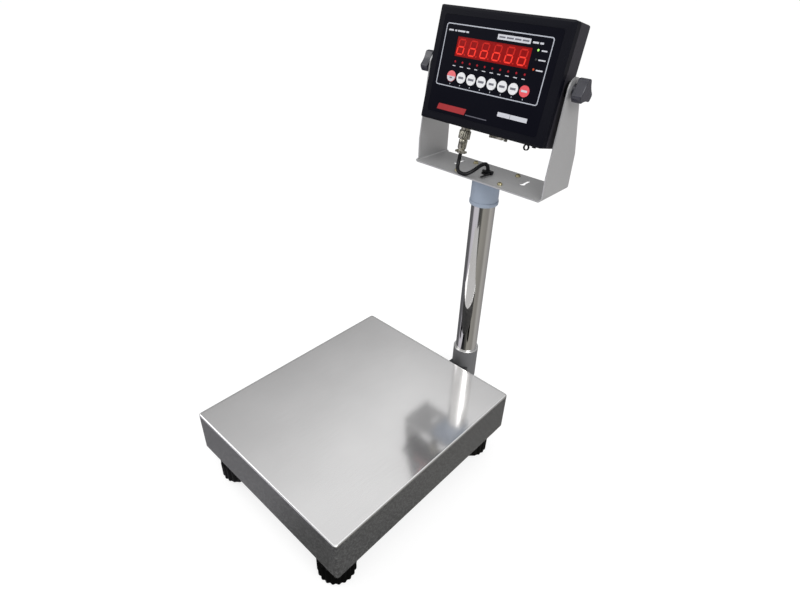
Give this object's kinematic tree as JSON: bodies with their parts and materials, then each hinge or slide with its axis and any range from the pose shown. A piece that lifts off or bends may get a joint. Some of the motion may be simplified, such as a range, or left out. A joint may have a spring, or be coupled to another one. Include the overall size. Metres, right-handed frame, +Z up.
{
  "type": "bench scale",
  "caption": "Bench scale with a flat steel platter on screw feet, a rear column and a tilting LED indicator held in a U bracket.",
  "frame": {"origin": "on the floor, under the middle of the overall outline", "axes": "+Z up, +Y from the operator towards the column, +X to the operator's right"},
  "size_m": [0.3, 0.492, 0.6282],
  "materials": {
    "frame_paint": "satin",
    "zinc_steel": "zinc plated",
    "cell_alloy": "milled",
    "level_vial": "clear yellow-green",
    "collar_plastic": "satin",
    "ring_bright": "polished",
    "tube_steel": "polished stainless",
    "cap_plastic": "satin",
    "bracket_steel": "brushed stainless",
    "screw_zinc": "yellow zinc",
    "black_rubber": "matte",
    "black_nylon": "satin",
    "cable_jacket": "satin",
    "platter_steel": "fine brushed stainless",
    "foot_rubber": "moulded",
    "front_shell": "satin",
    "rear_shell": "fine texture",
    "window_red": "clear red",
    "overlay_film": "satin film",
    "digit_red": "diffuse",
    "status_red": "diffuse",
    "board_green": "solder mask",
    "battery_wrap": "shrink film",
    "plug_metal": "nickel plated",
    "bush_black": "satin",
    "knob_black": "satin",
    "key_white": "satin",
    "key_red": "satin",
    "key_pink": "satin"
  },
  "bodies": {
    "base": {"base_frame": "frame_paint", "foot_lock_nuts": "zinc_steel", "cell_spacer": "zinc_steel", "load_cell": "cell_alloy", "cell_bolts_lower": "zinc_steel", "overload_stops": "zinc_steel", "bubble_level": "level_vial", "column_arm": "frame_paint", "column_fasteners": "zinc_steel", "column_socket": "collar_plastic", "collar_ring": "ring_bright", "column_plug": "zinc_steel", "column_tube": "tube_steel", "top_cap": "cap_plastic", "head_bracket": "bracket_steel", "bracket_screws": "screw_zinc", "cable_grommet": "black_rubber", "cable_tie": "black_nylon", "loadcell_cable": "cable_jacket"},
    "weigh_frame": {"load_frame": "frame_paint", "cell_bolts_upper": "zinc_steel", "platter_pads": "black_rubber"},
    "platter": {"platter": "platter_steel"},
    "indicator": {"front_housing": "front_shell", "rear_housing": "rear_shell", "housing_gasket": "black_rubber", "display_window": "window_red", "keypad_overlay": "overlay_film", "led_digits": "digit_red", "status_leds": "status_red", "main_board": "board_green", "battery": "battery_wrap", "case_screws": "zinc_steel", "receptacle": "plug_metal", "serial_port": "plug_metal", "cord_clip": "black_nylon", "pivot_bushes": "bush_black", "plug_shell": "plug_metal", "plug_clamp": "plug_metal"},
    "plug_nut": {"plug_nut": "plug_metal"},
    "foot_fl_screw": {"foot_stud_fl": "zinc_steel"},
    "foot_fl_knob": {"foot_knob_fl": "foot_rubber"},
    "foot_fr_screw": {"foot_stud_fr": "zinc_steel"},
    "foot_fr_knob": {"foot_knob_fr": "foot_rubber"},
    "foot_rl_screw": {"foot_stud_rl": "zinc_steel"},
    "foot_rl_knob": {"foot_knob_rl": "foot_rubber"},
    "foot_rr_screw": {"foot_stud_rr": "zinc_steel"},
    "foot_rr_knob": {"foot_knob_rr": "foot_rubber"},
    "clamp_left_stud": {"clamp_stud_left": "zinc_steel"},
    "clamp_left_knob": {"clamp_knob_left": "knob_black"},
    "clamp_right_stud": {"clamp_stud_right": "zinc_steel"},
    "clamp_right_knob": {"clamp_knob_right": "knob_black"},
    "key_1": {"key_1": "key_pink"},
    "key_2": {"key_2": "key_white"},
    "key_3": {"key_3": "key_white"},
    "key_4": {"key_4": "key_white"},
    "key_5": {"key_5": "key_white"},
    "key_6": {"key_6": "key_white"},
    "key_7": {"key_7": "key_white"},
    "key_8": {"key_8": "key_red"}
  },
  "joints": [
    {"name": "platform_load", "type": "slide", "parent": "base", "child": "weigh_frame", "axis": [0, 0, -1], "range_m": [0, 0.0005], "stiffness_N_per_m": 200000, "springref_m": -0.00019, "deforming": ["load_cell"]},
    {"name": "platter_lift", "type": "slide", "parent": "weigh_frame", "child": "platter", "axis": [0, 0, 1], "range_m": [0, 0.05]},
    {"name": "indicator_tilt", "type": "hinge", "parent": "base", "child": "indicator", "pos_m": [0, 0.205, 0.5495], "axis": [-1, 0, 0], "range_deg": [-13, 30], "deforming": ["loadcell_cable"]},
    {"name": "foot_fl_lift", "type": "slide", "parent": "base", "child": "foot_fl_screw", "axis": [0, 0, 1], "range_m": [-0.006, 0.003]},
    {"name": "foot_fl_turn", "type": "hinge", "parent": "foot_fl_screw", "child": "foot_fl_knob", "pos_m": [-0.1135, -0.216, 0], "axis": [0, 0, 1], "range_deg": [-1441, 721]},
    {"name": "foot_fr_lift", "type": "slide", "parent": "base", "child": "foot_fr_screw", "axis": [0, 0, 1], "range_m": [-0.006, 0.003]},
    {"name": "foot_fr_turn", "type": "hinge", "parent": "foot_fr_screw", "child": "foot_fr_knob", "pos_m": [0.1135, -0.216, 0], "axis": [0, 0, 1], "range_deg": [-1441, 721]},
    {"name": "foot_rl_lift", "type": "slide", "parent": "base", "child": "foot_rl_screw", "axis": [0, 0, 1], "range_m": [-0.006, 0.003]},
    {"name": "foot_rl_turn", "type": "hinge", "parent": "foot_rl_screw", "child": "foot_rl_knob", "pos_m": [-0.1135, 0.078, 0], "axis": [0, 0, 1], "range_deg": [-1441, 721]},
    {"name": "foot_rr_lift", "type": "slide", "parent": "base", "child": "foot_rr_screw", "axis": [0, 0, 1], "range_m": [-0.006, 0.003]},
    {"name": "foot_rr_turn", "type": "hinge", "parent": "foot_rr_screw", "child": "foot_rr_knob", "pos_m": [0.1135, 0.078, 0], "axis": [0, 0, 1], "range_deg": [-1441, 721]},
    {"name": "clamp_left_travel", "type": "slide", "parent": "indicator", "child": "clamp_left_stud", "axis": [-1, 0, 0], "range_m": [0, 0.0025]},
    {"name": "clamp_left_turn", "type": "hinge", "parent": "clamp_left_stud", "child": "clamp_left_knob", "pos_m": [-0.123, 0.205, 0.5495], "axis": [-1, 0, 0], "range_deg": [-1, 721]},
    {"name": "clamp_right_travel", "type": "slide", "parent": "indicator", "child": "clamp_right_stud", "axis": [1, 0, 0], "range_m": [0, 0.0025]},
    {"name": "clamp_right_turn", "type": "hinge", "parent": "clamp_right_stud", "child": "clamp_right_knob", "pos_m": [0.123, 0.205, 0.5495], "axis": [1, 0, 0], "range_deg": [-1, 721]},
    {"name": "plug_nut_turn", "type": "hinge", "parent": "indicator", "child": "plug_nut", "pos_m": [-0.036, 0.18738, 0.46428], "axis": [0, 0.225, 0.9744], "range_deg": [0, 720]},
    {"name": "key_1_press", "type": "slide", "parent": "indicator", "child": "key_1", "axis": [0, 0.9744, -0.225], "range_m": [0, 0.0007], "stiffness_N_per_m": 600},
    {"name": "key_2_press", "type": "slide", "parent": "indicator", "child": "key_2", "axis": [0, 0.9744, -0.225], "range_m": [0, 0.0007], "stiffness_N_per_m": 600},
    {"name": "key_3_press", "type": "slide", "parent": "indicator", "child": "key_3", "axis": [0, 0.9744, -0.225], "range_m": [0, 0.0007], "stiffness_N_per_m": 600},
    {"name": "key_4_press", "type": "slide", "parent": "indicator", "child": "key_4", "axis": [0, 0.9744, -0.225], "range_m": [0, 0.0007], "stiffness_N_per_m": 600},
    {"name": "key_5_press", "type": "slide", "parent": "indicator", "child": "key_5", "axis": [0, 0.9744, -0.225], "range_m": [0, 0.0007], "stiffness_N_per_m": 600},
    {"name": "key_6_press", "type": "slide", "parent": "indicator", "child": "key_6", "axis": [0, 0.9744, -0.225], "range_m": [0, 0.0007], "stiffness_N_per_m": 600},
    {"name": "key_7_press", "type": "slide", "parent": "indicator", "child": "key_7", "axis": [0, 0.9744, -0.225], "range_m": [0, 0.0007], "stiffness_N_per_m": 600},
    {"name": "key_8_press", "type": "slide", "parent": "indicator", "child": "key_8", "axis": [0, 0.9744, -0.225], "range_m": [0, 0.0007], "stiffness_N_per_m": 600}
  ],
  "couplings": [
    {"joint": "foot_fl_turn", "follows": "foot_fl_lift", "rad_per_m": 4188.8},
    {"joint": "foot_fr_turn", "follows": "foot_fr_lift", "rad_per_m": 4188.8},
    {"joint": "foot_rl_turn", "follows": "foot_rl_lift", "rad_per_m": 4188.8},
    {"joint": "foot_rr_turn", "follows": "foot_rr_lift", "rad_per_m": 4188.8},
    {"joint": "clamp_left_turn", "follows": "clamp_left_travel", "rad_per_m": 5026.5},
    {"joint": "clamp_right_turn", "follows": "clamp_right_travel", "rad_per_m": 5026.5}
  ]
}
